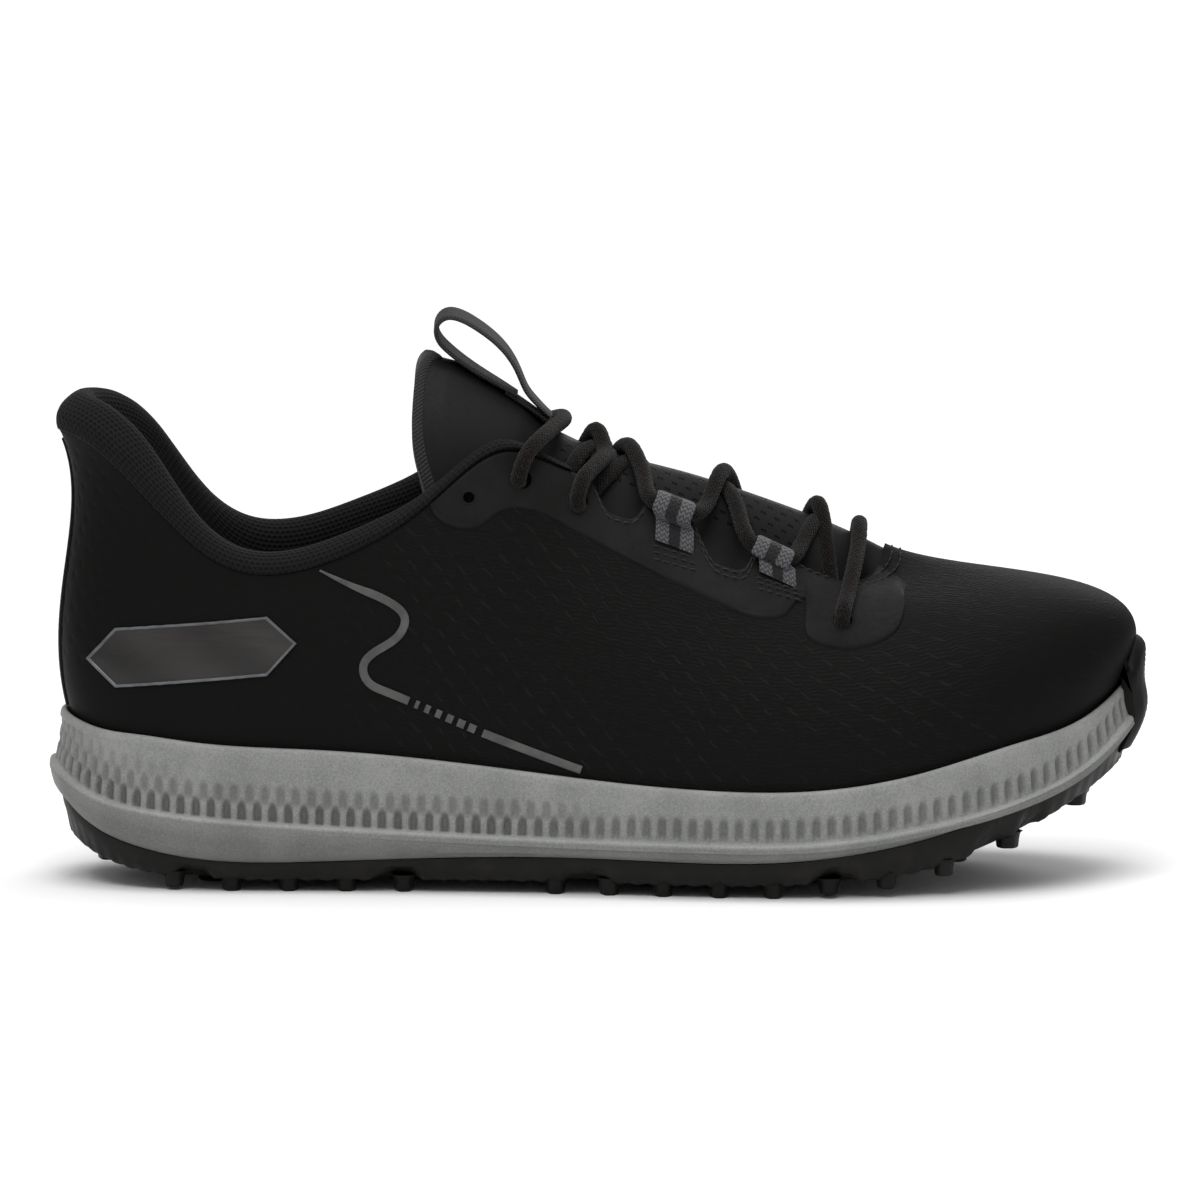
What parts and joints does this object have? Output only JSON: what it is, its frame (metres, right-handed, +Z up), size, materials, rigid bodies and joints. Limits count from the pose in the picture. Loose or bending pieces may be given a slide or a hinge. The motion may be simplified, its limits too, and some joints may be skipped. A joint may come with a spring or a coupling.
{
  "type": "golf shoe",
  "caption": "Low-cut spikeless slip-in golf shoe for the right foot, with a lugged rubber sole, ribbed midsole, flared padded collar, laced tongue and a pull loop.",
  "frame": {"origin": "on the ground, under the centre of the shoe's bounding box", "axes": "+X towards the toe, +Y towards the inner (medial) side of this right shoe, +Z up"},
  "size_m": [0.3002, 0.102, 0.1542],
  "materials": {
    "outsole_rubber": "satin brown-black moulded rubber",
    "bumper_rubber": "satin black moulded rubber",
    "midsole_foam": "satin grey painted foam",
    "board": "matt non-woven board",
    "insole_textile": "matt black textile on foam",
    "upper_synthetic": "embossed black synthetic leather, satin",
    "stiffener": "matt thermoplastic sheet",
    "lining_textile": "matt black knitted lining",
    "collar_mesh": "matt black spacer mesh",
    "heel_strip": "dotted black film",
    "overlay_film": "smooth black fused film, satin",
    "tongue_synthetic": "smooth black synthetic leather",
    "tongue_knit": "dark grey knit binding",
    "webbing": "black woven tape",
    "lace_cord": "round braided brown-black cord",
    "loop_webbing": "grey and black striped woven tape",
    "badge": "gunmetal moulded badge with a grey rim",
    "stripe_print": "grey printed film"
  },
  "bodies": {
    "shoe": {"outsole": "outsole_rubber", "toe_bumper": "bumper_rubber", "midsole": "midsole_foam", "strobel_board": "board", "insole": "insole_textile", "upper_shell": "upper_synthetic", "toe_puff": "stiffener", "heel_counter": "stiffener", "lining": "lining_textile", "collar_pad": "collar_mesh", "heel_strip": "heel_strip", "eyestay": "overlay_film", "tongue_lower": "tongue_synthetic", "lace": "lace_cord", "lace_loop_front_outer": "loop_webbing", "lace_loop_front_inner": "loop_webbing", "lace_loop_rear_outer": "loop_webbing", "lace_loop_rear_inner": "loop_webbing", "heel_badge_outer": "badge", "heel_badge_inner": "badge", "stripe_rear_outer": "stripe_print", "stripe_rear_inner": "stripe_print", "stripe_front_outer": "stripe_print", "stripe_front_inner": "stripe_print"},
    "tongue": {"tongue_flap": "tongue_synthetic", "tongue_binding": "tongue_knit", "pull_strap": "webbing"},
    "pull": {"pull_loop": "webbing"}
  },
  "joints": [
    {"name": "tongue_tilt", "type": "hinge", "parent": "shoe", "child": "tongue", "pos_m": [-0.0135, 0.0005, 0.1224], "axis": [0, 1, 0], "range_deg": [-3, 35]},
    {"name": "pull_loop_swing", "type": "hinge", "parent": "tongue", "child": "pull", "pos_m": [-0.0172, 0.0005, 0.1297], "axis": [0, 1, 0], "range_deg": [0, 95]}
  ]
}
